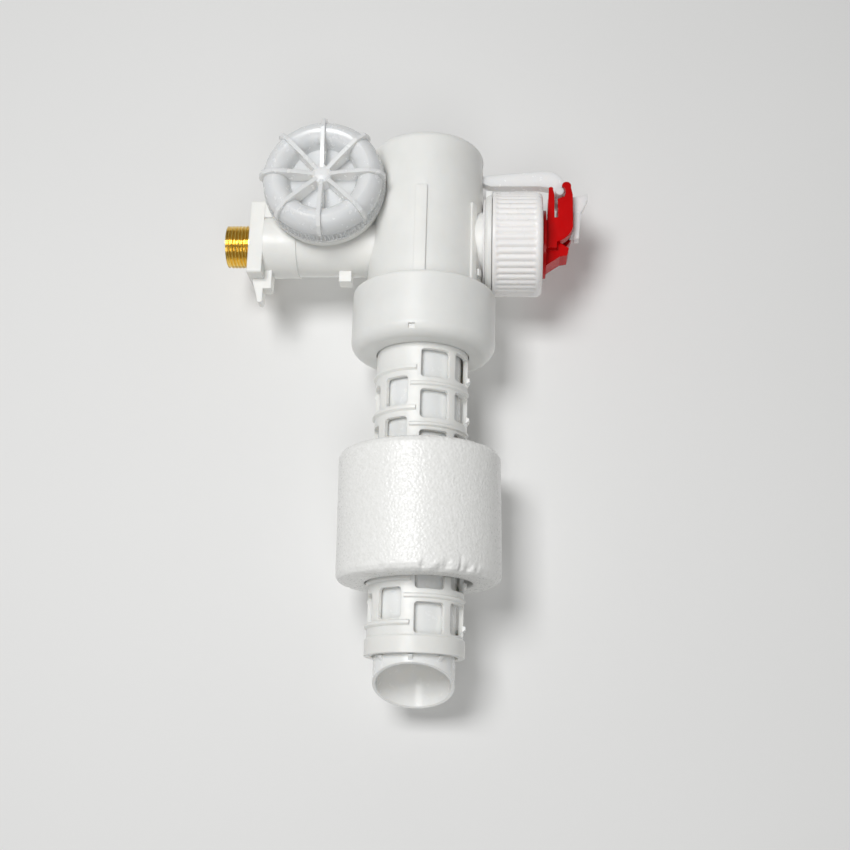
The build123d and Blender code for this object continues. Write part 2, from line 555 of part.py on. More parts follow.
PISTON_TRAVEL = 1.5
with BuildPart() as main_diaphragm:
    with BuildSketch(PORT_PLANE):
        outline((HOUSING_END + SEAT_GAP, 6.3), (HOUSING_END + SEAT_GAP, THREADED_R - 0.2),
                (COVER_START - SEAT_GAP, THREADED_R - 0.2), (COVER_START - SEAT_GAP, 6.3))
    revolve(axis=PORT_AXIS)
    with BuildSketch(Plane.YZ.offset(HOUSING_END - 1.0)):
        with Locations((9.0, PORT_Z)):
            Circle(0.9)
    extrude(amount=6.0, mode=Mode.SUBTRACT)
finish(main_diaphragm, "main_diaphragm")

with BuildPart() as diaphragm_piston:
    with BuildSketch(PORT_PLANE):
        outline((SEAT_X + 1.7, 0), (SEAT_X + 1.7, 7.4), (SEAT_X + 3.0, 7.4), (SEAT_X + 3.0, 5.9),
                (COVER_START + 1.8, 5.9), (COVER_START + 1.8, 7.8), (COVER_START + 2.9, 7.8), (COVER_START + 2.9, 0))
    revolve(axis=PORT_AXIS)
finish(diaphragm_piston, "diaphragm_piston")

# --- pilot arm: long lever over the nut, leg down to the jet, pivot pin through the cheeks -------------
ARM_HALF = 2.2
with BuildPart() as pilot_arm:
    with BuildSketch(Plane.XZ.offset(-ARM_HALF)):
        with BuildLine():
            Polyline((TUBE_X - 2.5, 26.5), (TUBE_X + 22.0, 26.5), (TUBE_X + 25.0, 25.2), (PIN_X - 8.0, 25.2),
                     (PIN_X - 3.0, 24.4))
            ThreePointArc((PIN_X - 3.0, 24.4), (PIN_X - 2.6, 19.0), (PIN_X + 0.6, 17.6))
            Polyline((PIN_X + 0.6, 17.6), (PIN_X + 4.4, 16.4), (PIN_X + 5.6, 13.4), (PIN_X + 5.6, 2.7),
                     (PIN_X + 7.6, 2.7), (PIN_X + 8.4, 13.8), (PIN_X + 9.6, 15.8), (PIN_X + 11.2, 20.0),
                     (PIN_X + 11.0, 21.7), (PIN_X + 8.8, 20.9), (PIN_X + 4.6, 20.2), (PIN_X + 2.6, 23.4))
            ThreePointArc((PIN_X + 2.6, 23.4), (PIN_X + 0.6, 29.2), (PIN_X - 5.0, 31.9))
            Polyline((PIN_X - 5.0, 31.9), (TUBE_X + 25.0, 30.0), (TUBE_X + 22.0, 29.5), (TUBE_X - 2.5, 29.5),
                     (TUBE_X - 2.5, 26.5))
        make_face()
    extrude(amount=2 * ARM_HALF)
    with Locations((TUBE_X, 0, 28.0)):
        Box(5.0, 33.0, 3.0)
    with BuildSketch(Plane.XZ.offset(-CHEEK_GAP - CHEEK_THICK - 0.6)):
        with Locations((PIN_X, PIN_Z)):
            Circle(PIN_R)
    extrude(amount=2 * (CHEEK_GAP + CHEEK_THICK + 0.6))
    # pad holder that points at the jet
    with BuildSketch(Plane.YZ.offset(JET_TIP + 3.15)):
        with Locations((0, JET_Z)):
            Circle(2.2)
    extrude(amount=2.4)
finish(pilot_arm, "pilot_arm")

with BuildPart() as pilot_pad:
    with BuildSketch(Plane.YZ.offset(JET_TIP + 2.0)):
        with Locations((0, JET_Z)):
            Circle(2.0)
    extrude(amount=1.1)
finish(pilot_pad, "pilot_pad")

# --- float carriage: windowed tube with part-turn ridges and two push legs ---------------------------------
COLUMNS = ((-75.0, -65.4, 6, 9.4), (-29.5, -64.2, 6, 9.4), (20.5, -53.8, 7, 10.8), (67.0, -53.4, 7, 10.8))
LEG_HALF_ANGLE = 21.0
BAND_TOP = -152.6
FOOT_R = 18.0
with BuildPart() as float_carriage:
    with BuildSketch(TUBE_PLANE):
        outline((CARRIAGE_BORE_R, CARRIAGE_BOTTOM), (FOOT_R, CARRIAGE_BOTTOM), (FOOT_R, BAND_TOP - 0.7),
                (CARRIAGE_R, BAND_TOP), (CARRIAGE_R, CARRIAGE_LEG_TOP), (CARRIAGE_BORE_R, CARRIAGE_LEG_TOP))
    revolve(axis=TUBE_AXIS)
    for half_turn in (0.0, 180.0):
        with BuildSketch(radial_plane(half_turn + LEG_HALF_ANGLE)):
            outline((CARRIAGE_BORE_R - 1, CARRIAGE_TOP), (CARRIAGE_R + 1, CARRIAGE_TOP),
                    (CARRIAGE_R + 1, CARRIAGE_LEG_TOP + 1), (CARRIAGE_BORE_R - 1, CARRIAGE_LEG_TOP + 1))
        revolve(axis=TUBE_AXIS, revolution_arc=180.0 - 2 * LEG_HALF_ANGLE, mode=Mode.SUBTRACT)
        # ridges: the left run sits half a pitch away from the right run
        for row in range(7):
            top_edge = -54.5 - row * WINDOW_PITCH
            with BuildSketch(radial_plane(half_turn - 96.0)):
                outline((CARRIAGE_R - 0.5, top_edge), (RIDGE_R, top_edge - 0.5), (RIDGE_R, top_edge - 1.5),
                        (CARRIAGE_R - 0.5, top_edge - 2.6))
            revolve(axis=TUBE_AXIS, revolution_arc=93.0)
        for row in range(6):
            centre = -61.8 - row * WINDOW_PITCH
            with BuildSketch(radial_plane(half_turn - 10.0)):
                outline((CARRIAGE_R - 0.5, centre + 1.2), (RIDGE_R - 0.2, centre + 0.4),
                        (RIDGE_R - 0.2, centre - 0.4), (CARRIAGE_R - 0.5, centre - 1.2))
            revolve(axis=TUBE_AXIS, revolution_arc=94.0)
        for azimuth, first_row, rows, width in COLUMNS:
            with BuildSketch(wall_plane(azimuth + half_turn, 10.0)):
                for row in range(rows):
                    with Locations((0, first_row - row * WINDOW_PITCH)):
                        RectangleRounded(width, WINDOW_HEIGHT, WINDOW_CORNER)
            extrude(amount=15.0, mode=Mode.SUBTRACT)
finish(float_carriage, "float_carriage")

# --- the float: foam sleeve on the carriage -------------------------------------------------------------
FLOAT_MIDDLE = (FLOAT_TOP + FLOAT_BOTTOM) / 2
FLOAT_HALF = (FLOAT_TOP - FLOAT_BOTTOM) / 2
LEAN = math.radians(FLOAT_TILT)
FLOAT_CENTRE = (TUBE_X + FLOAT_SHIFT, 0, FLOAT_MIDDLE)
FLOAT_PLANE = Plane(origin=FLOAT_CENTRE, x_dir=(math.cos(LEAN), 0, math.sin(LEAN)), z_dir=(0, -1, 0))
with BuildPart() as foam_float:
    with BuildSketch(FLOAT_PLANE) as float_section:
        outline((FLOAT_BORE_R, -FLOAT_HALF), (FLOAT_R, -FLOAT_HALF), (FLOAT_R, FLOAT_HALF), (FLOAT_BORE_R, FLOAT_HALF))
        chamfer(float_section.vertices().sort_by(Axis.X)[-2:], FLOAT_CHAMFER)
    revolve(axis=Axis(FLOAT_CENTRE, (-math.sin(LEAN), 0, math.cos(LEAN))))
finish(foam_float, "foam_float")
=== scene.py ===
"""Visual model of a side-inlet float valve: finishes for the CAD pieces, the pieces that need finer
surfaces than the CAD gives, a plain backdrop, soft lights and the camera."""
import json
import logging
import math
from dataclasses import dataclass, field
from enum import Enum
from typing import Callable, ClassVar

import bmesh
import bpy
from mathutils import Matrix, Vector, noise

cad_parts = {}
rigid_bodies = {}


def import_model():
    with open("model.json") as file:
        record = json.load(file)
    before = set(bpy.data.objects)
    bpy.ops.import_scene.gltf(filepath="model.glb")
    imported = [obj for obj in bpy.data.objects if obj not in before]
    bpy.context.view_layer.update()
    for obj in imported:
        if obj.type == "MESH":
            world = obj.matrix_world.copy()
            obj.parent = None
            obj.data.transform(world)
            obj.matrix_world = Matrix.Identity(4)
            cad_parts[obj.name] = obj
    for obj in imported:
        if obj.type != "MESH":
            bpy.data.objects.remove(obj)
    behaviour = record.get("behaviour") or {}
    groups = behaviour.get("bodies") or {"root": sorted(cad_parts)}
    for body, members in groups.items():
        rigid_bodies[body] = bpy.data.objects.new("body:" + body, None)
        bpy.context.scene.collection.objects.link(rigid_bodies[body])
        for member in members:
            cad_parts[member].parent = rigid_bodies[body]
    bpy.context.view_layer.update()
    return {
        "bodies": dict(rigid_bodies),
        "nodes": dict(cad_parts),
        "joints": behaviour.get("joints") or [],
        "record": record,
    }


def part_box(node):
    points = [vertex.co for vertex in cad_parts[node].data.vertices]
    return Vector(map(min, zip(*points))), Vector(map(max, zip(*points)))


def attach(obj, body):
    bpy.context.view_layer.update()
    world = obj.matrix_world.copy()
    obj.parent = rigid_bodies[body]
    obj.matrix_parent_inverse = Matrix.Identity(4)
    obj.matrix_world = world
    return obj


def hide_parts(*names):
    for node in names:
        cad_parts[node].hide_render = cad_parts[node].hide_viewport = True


log = logging.getLogger("float_valve")

MM = 0.001
NOISE_LOW, NOISE_HIGH = 0.3, 0.7  # where a noise texture's values mostly lie
BEVEL_SAMPLES = 4
Colour = tuple[float, float, float]
Profile = list[tuple[float, float]]
Shaper = Callable[[float, float, float], float]


def middle(node: str) -> Vector:
    """Find the centre of a CAD node's box at rest.

    Args:
        node: Name of the CAD node.

    Returns:
        The centre in millimetres.
    """
    low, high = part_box(node)
    return (Vector(low) + Vector(high)) * 0.5 / MM


class Turn(Enum):
    """The axis that a turned piece is symmetrical about."""

    X = "x"
    Y = "y"
    Z = "z"


def turned_point(turn: Turn, centre: Vector, along: float, radius: float, angle: float) -> Vector:
    """Place one point of a turned surface.

    Args:
        turn: Axis of the surface.
        centre: Point on the axis, in millimetres.
        along: Distance along the axis, in millimetres.
        radius: Distance from the axis, in millimetres.
        angle: Angle about the axis; zero faces the front, or up for an axis along Y.

    Returns:
        The point in metres.
    """
    sine, cosine = radius * math.sin(angle), radius * math.cos(angle)
    offsets = {
        Turn.X: Vector((along, -cosine, sine)),
        Turn.Y: Vector((sine, along, cosine)),
        Turn.Z: Vector((sine, -cosine, along)),
    }
    return (centre + offsets[turn]) * MM


def mesh_object(name: str, points: list[Vector], faces: list[tuple[int, ...]]) -> bpy.types.Object:
    """Make a smooth-shaded mesh object.

    Args:
        name: Name of the new object.
        points: Corners in metres.
        faces: Corner numbers of each face.

    Returns:
        The new object, linked to the scene.
    """
    mesh = bpy.data.meshes.new(name)
    mesh.from_pydata([tuple(p) for p in points], [], faces)
    mesh.update()
    mesh.polygons.foreach_set("use_smooth", [True] * len(mesh.polygons))
    item = bpy.data.objects.new(name, mesh)
    bpy.context.scene.collection.objects.link(item)
    return item


def lathe(name: str, turn: Turn, centre: Vector, profile: Profile, steps: int,
          shaper: Shaper | None = None) -> bpy.types.Object:
    """Turn a closed profile about an axis.

    Args:
        name: Name of the new object.
        turn: Axis of the piece.
        centre: Point on the axis, in millimetres.
        profile: Closed ring of (along, radius) pairs in millimetres.
        steps: Number of segments round the axis.
        shaper: Optional rule that returns the radius for (angle, along, radius).

    Returns:
        The new object.
    """
    points: list[Vector] = []
    count = len(profile)
    for step in range(steps):
        angle = step * math.tau / steps
        for along, radius in profile:
            shaped = shaper(angle, along, radius) if shaper else radius
            points.append(turned_point(turn, centre, along, shaped, angle))
    faces = [
        (step * count + i, step * count + (i + 1) % count,
         ((step + 1) % steps) * count + (i + 1) % count, ((step + 1) % steps) * count + i)
        for step in range(steps) for i in range(count)
    ]
    return face_outward(mesh_object(name, points, faces))


def face_outward(item: bpy.types.Object) -> bpy.types.Object:
    """Make a closed mesh's faces look outward.

    Args:
        item: Object with a closed mesh.

    Returns:
        The same object.
    """
    shell = bmesh.new()
    shell.from_mesh(item.data)
    bmesh.ops.recalc_face_normals(shell, faces=shell.faces)
    shell.to_mesh(item.data)
    shell.free()
    return item


def resampled(corners: Profile, step: float) -> Profile:
    """Split the edges of a closed ring of corners.

    Args:
        corners: Closed ring of (along, radius) pairs in millimetres.
        step: Longest edge that is left, in millimetres.

    Returns:
        The finer ring, with every corner kept.
    """
    dense: Profile = []
    for index, (a0, r0) in enumerate(corners):
        a1, r1 = corners[(index + 1) % len(corners)]
        parts = max(1, math.ceil(math.hypot(a1 - a0, r1 - r0) / step))
        dense += [(a0 + (a1 - a0) * k / parts, r0 + (r1 - r0) * k / parts) for k in range(parts)]
    return dense


class Graph:
    """A material's node tree with short calls for adding and joining nodes."""

    def __init__(self, name: str) -> None:
        """Start a material whose output is one Principled surface."""
        self.material = bpy.data.materials.new(name)
        self.material.use_nodes = True
        self.tree = self.material.node_tree
        self.surface = self.tree.nodes["Principled BSDF"]

    def add(self, kind: str, **values: object) -> bpy.types.Node:
        """Add a node.

        Args:
            kind: Type name of the node.
            values: Values for the node's inputs, with underscores for spaces in the names.

        Returns:
            The new node.
        """
        node = self.tree.nodes.new(kind)
        for key, value in values.items():
            node.inputs[key.replace("_", " ")].default_value = value
        return node

    def link(self, source: bpy.types.NodeSocket, target: bpy.types.NodeSocket) -> None:
        """Join two sockets."""
        self.tree.links.new(source, target)

    def noise(self, scale: float, detail: float = 4.0) -> bpy.types.NodeSocket:
        """Add a noise texture in object coordinates.

        Args:
            scale: Fineness, in grains per metre.
            detail: Number of finer layers.

        Returns:
            The texture's value.
        """
        texture = self.add("ShaderNodeTexNoise", Scale=scale, Detail=detail)
        self.link(self.coordinates(), texture.inputs["Vector"])
        return texture.outputs["Fac"]

    def coordinates(self) -> bpy.types.NodeSocket:
        """Return the object coordinates."""
        return self.add("ShaderNodeTexCoord").outputs["Object"]

    def ramp(self, source: bpy.types.NodeSocket, low: Colour, high: Colour) -> bpy.types.NodeSocket:
        """Turn a noise value into a colour.

        Args:
            source: The noise value.
            low: Colour at and below NOISE_LOW.
            high: Colour at and above NOISE_HIGH.

        Returns:
            The colour.
        """
        node = self.add("ShaderNodeValToRGB")
        stops = zip(node.color_ramp.elements, (NOISE_LOW, NOISE_HIGH), (low, high))
        for stop, position, colour in stops:
            stop.position = position
            stop.color = (*colour, 1.0)
        self.link(source, node.inputs["Fac"])
        return node.outputs["Color"]

    def spread(self, source: bpy.types.NodeSocket, low: float, high: float) -> bpy.types.NodeSocket:
        """Turn a noise value into a value between two others.

        Args:
            source: The noise value.
            low: Result at and below NOISE_LOW.
            high: Result at and above NOISE_HIGH.

        Returns:
            The new value.
        """
        node = self.add("ShaderNodeMapRange", From_Min=NOISE_LOW, From_Max=NOISE_HIGH,
                        To_Min=low, To_Max=high)
        self.link(source, node.inputs["Value"])
        return node.outputs["Result"]

    def bump(self, height: bpy.types.NodeSocket, distance: float, strength: float = 1.0,
             below: bpy.types.NodeSocket | None = None) -> bpy.types.NodeSocket:
        """Bend the surface normal by a height.

        Args:
            height: The height, from 0 to 1.
            distance: Depth that a height of 1 stands for, in metres.
            strength: Share of the effect that is used.
            below: Normal to bend further; the plain one if left out.

        Returns:
            The bent normal.
        """
        node = self.add("ShaderNodeBump", Strength=strength, Distance=distance)
        self.link(height, node.inputs["Height"])
        if below is not None:
            self.link(below, node.inputs["Normal"])
        return node.outputs["Normal"]

    def rounded(self, radius: float) -> bpy.types.NodeSocket:
        """Add a normal that looks rounded near sharp edges.

        Args:
            radius: Radius of the rounding, in metres.

        Returns:
            The rounded normal.
        """
        node = self.add("ShaderNodeBevel", Radius=radius)
        node.samples = BEVEL_SAMPLES
        return node.outputs["Normal"]


@dataclass(frozen=True)
class Plastic:
    """Injection-moulded plastic with faint clouding and a slightly uneven skin.

    Attributes:
        name: Name of the material.
        light: Colour of the lighter clouds.
        dark: Colour of the darker clouds.
        roughness: Mean roughness.
        subsurface: Share of light that passes under the skin.
        depth: How far that light travels, in millimetres.
        transmission: Share of light that passes straight through.
        ior: Index of refraction.
        edge: Radius of the softened edges, in millimetres.
    """

    name: str
    light: Colour
    dark: Colour
    roughness: float
    subsurface: float = 0.0
    depth: float = 2.0
    transmission: float = 0.0
    ior: float = 1.49
    edge: float = 0.3

    CLOUDS: ClassVar[float] = 90.0
    GLOSS_PATCHES: ClassVar[float] = 420.0
    RIPPLES: ClassVar[float] = 150.0
    GRAINS: ClassVar[float] = 1400.0
    RIPPLE_DEPTH: ClassVar[float] = 0.05
    GRAIN_DEPTH: ClassVar[float] = 0.004
    UNDER_SKIN: ClassVar[Colour] = (1.0, 0.9, 0.8)

    def build(self) -> bpy.types.Material:
        """Make the material."""
        graph = Graph(self.name)
        surface = graph.surface.inputs
        graph.link(graph.ramp(graph.noise(self.CLOUDS), self.dark, self.light), surface["Base Color"])
        gloss = graph.spread(graph.noise(self.GLOSS_PATCHES), self.roughness * 0.85, self.roughness * 1.2)
        graph.link(gloss, surface["Roughness"])
        surface["IOR"].default_value = self.ior
        surface["Subsurface Weight"].default_value = self.subsurface
        surface["Subsurface Radius"].default_value = self.UNDER_SKIN
        surface["Subsurface Scale"].default_value = self.depth * MM
        surface["Transmission Weight"].default_value = self.transmission
        edges = graph.rounded(self.edge * MM)
        ripple = graph.bump(graph.noise(self.RIPPLES, 2.0), self.RIPPLE_DEPTH * MM, 0.5, edges)
        grain = graph.bump(graph.noise(self.GRAINS, 2.0), self.GRAIN_DEPTH * MM, 0.5, ripple)
        graph.link(grain, surface["Normal"])
        return graph.material


@dataclass(frozen=True)
class Foam:
    """Fused bead foam: rounded cells with thin creases between them.

    Attributes:
        name: Name of the material.
        beads: Beads per metre.
        cells: Cells in each bead, side by side.
        light: Colour of the lighter mottles.
        dark: Colour of the darker mottles.
    """

    name: str
    beads: float = 330.0
    cells: float = 3.4
    light: Colour = (0.91, 0.91, 0.895)
    dark: Colour = (0.85, 0.85, 0.83)

    BEAD_DEPTH: ClassVar[float] = 0.05
    CELL_DEPTH: ClassVar[float] = 0.21
    SKIN_DEPTH: ClassVar[float] = 0.10
    CELL_WIDTH: ClassVar[float] = 0.7
    MOTTLES: ClassVar[float] = 700.0
    GLOSS_PATCHES: ClassVar[float] = 1100.0
    SKIN_GRAINS: ClassVar[float] = 1900.0

    def grain(self, graph: Graph, scale: float, distance: float,
              below: bpy.types.NodeSocket | None) -> bpy.types.NodeSocket:
        """Add rounded grains of one size.

        Args:
            graph: The material's graph.
            scale: Grains per metre.
            distance: Height of a grain, in metres.
            below: Normal to bend further; the plain one if left out.

        Returns:
            The bent normal.
        """
        cell = graph.add("ShaderNodeTexVoronoi", Scale=scale)
        cell.feature = "SMOOTH_F1"
        graph.link(graph.coordinates(), cell.inputs["Vector"])
        dome = graph.add("ShaderNodeMapRange", From_Min=0.0, From_Max=self.CELL_WIDTH,
                         To_Min=1.0, To_Max=0.0)
        graph.link(cell.outputs["Distance"], dome.inputs["Value"])
        return graph.bump(dome.outputs["Result"], distance, 0.7, below)

    def build(self) -> bpy.types.Material:
        """Make the material."""
        graph = Graph(self.name)
        surface = graph.surface.inputs
        graph.link(graph.ramp(graph.noise(self.MOTTLES, 3.0), self.dark, self.light), surface["Base Color"])
        normal = self.grain(graph, self.beads, self.BEAD_DEPTH * MM, None)
        normal = self.grain(graph, self.beads * self.cells, self.CELL_DEPTH * MM, normal)
        skin = graph.bump(graph.noise(self.SKIN_GRAINS, 2.0), self.SKIN_DEPTH * MM, 0.5, normal)
        graph.link(skin, surface["Normal"])
        graph.link(graph.spread(graph.noise(self.GLOSS_PATCHES), 0.22, 0.5), surface["Roughness"])
        surface["Subsurface Weight"].default_value = 0.3
        surface["Subsurface Radius"].default_value = (1.0, 1.0, 1.0)
        surface["Subsurface Scale"].default_value = 1.2 * MM
        return graph.material


@dataclass(frozen=True)
class Metal:
    """Turned brass with a slightly uneven, faintly tarnished surface.

    Attributes:
        name: Name of the material.
        light: Colour of the bright patches.
        dark: Colour of the tarnish.
    """

    name: str
    light: Colour
    dark: Colour

    TARNISH: ClassVar[float] = 700.0
    GLOSS_PATCHES: ClassVar[float] = 300.0
    PITS: ClassVar[float] = 900.0
    PIT_DEPTH: ClassVar[float] = 0.006

    def build(self) -> bpy.types.Material:
        """Make the material."""
        graph = Graph(self.name)
        surface = graph.surface.inputs
        surface["Metallic"].default_value = 1.0
        graph.link(graph.ramp(graph.noise(self.TARNISH), self.dark, self.light), surface["Base Color"])
        graph.link(graph.spread(graph.noise(self.GLOSS_PATCHES), 0.14, 0.24), surface["Roughness"])
        graph.link(graph.bump(graph.noise(self.PITS), self.PIT_DEPTH * MM, 0.4), surface["Normal"])
        return graph.material


WHITE = Plastic("white_moulding", (0.85, 0.85, 0.825), (0.81, 0.81, 0.785), 0.38,
                subsurface=0.5, depth=2.5)
GLOSSY = Plastic("riser_moulding", (0.92, 0.92, 0.90), (0.89, 0.895, 0.87), 0.24,
                 subsurface=0.6, depth=3.0)
CLEAR = Plastic("clear_moulding", (0.96, 0.96, 0.95), (0.93, 0.935, 0.925), 0.24,
                subsurface=0.6, depth=6.0, transmission=0.10)
# Milky union nut: the pink tint in both colours is painted light, the red of the red cover inside shining
# through the nut; the nut itself is milky white.
NUT_WITH_PAINTED_RED_LIGHT = Plastic("milky_nut_painted_red_light", (0.94, 0.91, 0.895), (0.90, 0.87, 0.855), 0.30,
                subsurface=0.55, depth=3.0)
RED = Plastic("red_moulding", (0.58, 0.0, 0.001), (0.46, 0.0, 0.001), 0.22, ior=1.30)
RUBBER = Plastic("black_rubber", (0.035, 0.035, 0.037), (0.02, 0.02, 0.022), 0.6)
FOAM = Foam("bead_foam")
BRASS = Metal("turned_brass", (0.97, 0.70, 0.19), (0.88, 0.58, 0.12))


class Palette:
    """Builds each finish once and lays it on CAD nodes and new pieces."""

    SLOTS: ClassVar[dict[str, Plastic | Foam | Metal]] = {
        "moulding": WHITE, "clear_moulding": CLEAR, "nut_moulding": NUT_WITH_PAINTED_RED_LIGHT, "red_moulding": RED,
        "foam": FOAM, "brass": BRASS, "seal_rubber": RUBBER,
    }

    def __init__(self) -> None:
        """Build the material of every slot."""
        self.materials = {slot: finish.build() for slot, finish in self.SLOTS.items()}

    def dress_nodes(self, frame: dict) -> None:
        """Lay each CAD node's finish on its material slots.

        Args:
            frame: The loaded frame, with its record and its nodes.
        """
        for entry in frame["record"]["subparts"]:
            item = frame["nodes"][entry["node"]]
            material = self.materials[entry["material_slot"]]
            if not item.material_slots:
                item.data.materials.append(material)
            for place in item.material_slots:
                place.material = material

    def dress_riser(self, frame: dict) -> None:
        """Give the smooth riser its glossier skin.

        Args:
            frame: The loaded frame.
        """
        skin = GLOSSY.build()
        for place in frame["nodes"]["riser_tube"].material_slots:
            place.material = skin

    def dress(self, item: bpy.types.Object, slot: str) -> None:
        """Lay one finish on a new piece.

        Args:
            item: The new piece.
            slot: Name of the material slot.
        """
        item.data.materials.clear()
        item.data.materials.append(self.materials[slot])


@dataclass
class InletThread:
    """The brass nipple with its real thread; all lengths are in millimetres.

    Attributes:
        palette: The finishes.
        radius: Radius over the thread's crests.
        pitch: Distance from crest to crest.
        depth: Depth of the thread.
        start: Where the open end lies along X.
        runout: Where the thread ends; the wall behind it is plain.
        bore: Radius of the bore.
        shank: Radius of the part inside the boss.
        clip_groove: Radius at the bottom of the clip's groove.
        seal_groove: Radius at the bottom of the seal's groove.
        chamfer: Radius of the open end's rim.
    """

    palette: Palette
    radius: float = 8.33
    pitch: float = 1.337
    depth: float = 0.82
    start: float = -9.8
    runout: float = -0.9
    bore: float = 5.5
    shank: float = 7.7
    clip_groove: float = 6.6
    seal_groove: float = 6.5
    chamfer: float = 7.3

    RELIEF: ClassVar[float] = 0.25
    LEAD_IN: ClassVar[float] = 1.1
    LEAD_IN_DROP: ClassVar[float] = 0.7
    STEPS: ClassVar[int] = 160
    EDGE: ClassVar[float] = 0.13

    def thread_radius(self, angle: float, along: float, radius: float) -> float:
        """Cut the thread into the outer wall.

        Args:
            angle: Angle about the axis.
            along: Distance along the axis.
            radius: Radius of the plain wall.

        Returns:
            The radius with the thread.
        """
        if radius < self.radius - 0.02:
            return radius
        if along > self.runout:
            return radius - self.RELIEF
        phase = ((along + angle / math.tau * self.pitch) / self.pitch) % 1.0
        ridge = min(1.0, max(0.0, 1.25 - 2.5 * abs(phase - 0.5)))
        entry = max(0.0, min(1.0, (along - self.start) / self.LEAD_IN))
        return radius - self.depth * (1.0 - ridge) - (1.0 - entry) * self.LEAD_IN_DROP * ridge

    def build(self) -> None:
        """Make the nipple and put it in place of the smooth CAD piece."""
        shank, clip, seal = self.shank, self.clip_groove, self.seal_groove
        corners = [
            (self.start, self.bore), (self.start, self.chamfer), (self.start + 0.02, self.radius),
            (-0.05, self.radius), (-0.05, shank), (7.7, shank), (7.7, clip), (10.3, clip), (10.3, shank),
            (11.1, shank), (11.1, seal), (12.7, seal), (12.7, shank), (13.5, shank), (13.5, self.bore),
        ]
        item = lathe("threaded_nipple", Turn.X, Vector((0, 0, 0)), resampled(corners, self.EDGE),
                     self.STEPS, self.thread_radius)
        self.palette.dress(item, "brass")
        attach(item, "valve")
        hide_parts("inlet_nipple")


@dataclass
class RibbedNut:
    """The milky union nut with fine ribs between a smooth collar and a rounded end.

    Attributes:
        palette: The finishes.
        ribs: Number of ribs.
        depth: Depth of the valleys between the ribs, in millimetres.
        lead: Length of the smooth collar, in millimetres.
        tail: Length of the smooth end, in millimetres.
        radius: Radius over the ribs, in millimetres.
        thread: Radius of the threaded bore, in millimetres.
        mouth: Radius of the opening round the cover, in millimetres.
        bend: Radius of the rounded end, in millimetres.
    """

    palette: Palette
    ribs: int = 46
    depth: float = 0.55
    lead: float = 1.6
    tail: float = 2.6
    radius: float = 20.3
    thread: float = 17.7
    mouth: float = 13.4
    bend: float = 2.2
    start: float = field(default=0.0, init=False)
    end: float = field(default=0.0, init=False)

    FADE: ClassVar[float] = 0.5
    CROWN: ClassVar[float] = 0.6
    LIP: ClassVar[float] = 2.35
    BEND_STEPS: ClassVar[int] = 6
    STEPS: ClassVar[int] = 736
    EDGE: ClassVar[float] = 0.5

    def rib_radius(self, angle: float, along: float, radius: float) -> float:
        """Cut the valleys between the ribs into the outer wall.

        Args:
            angle: Angle about the axis.
            along: Distance along the axis.
            radius: Radius of the plain wall.

        Returns:
            The radius with the ribs.
        """
        first, last = self.start + self.lead, self.end - self.tail
        if radius < self.radius - 0.05 or not first < along < last:
            return radius
        wave = 0.5 + 0.5 * math.cos(angle * self.ribs)
        fade = min(1.0, (along - first) / self.FADE, (last - along) / self.FADE)
        return radius - self.depth * (1.0 - wave ** self.CROWN) * fade

    def build(self) -> None:
        """Make the nut and put it in place of the smooth CAD piece."""
        low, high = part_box("union_nut")
        self.start, self.end = start, end = low[0] / MM, high[0] / MM
        bend = self.bend
        angles = (step * math.pi / 2 / self.BEND_STEPS for step in range(self.BEND_STEPS + 1))
        rounded = [(end - bend + bend * math.sin(a), self.radius - bend + bend * math.cos(a))
                   for a in angles]
        corners = [
            (start, self.thread), (start, self.radius - 0.25), (start + 0.3, self.radius), *rounded,
            (end, self.mouth), (end - self.LIP, self.mouth), (end - self.LIP, self.thread),
        ]
        centre = Vector((0, 0, middle("union_nut").z))
        item = lathe("ribbed_union_nut", Turn.X, centre, resampled(corners, self.EDGE), self.STEPS,
                     self.rib_radius)
        self.palette.dress(item, "nut_moulding")
        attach(item, "valve")
        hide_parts("union_nut")


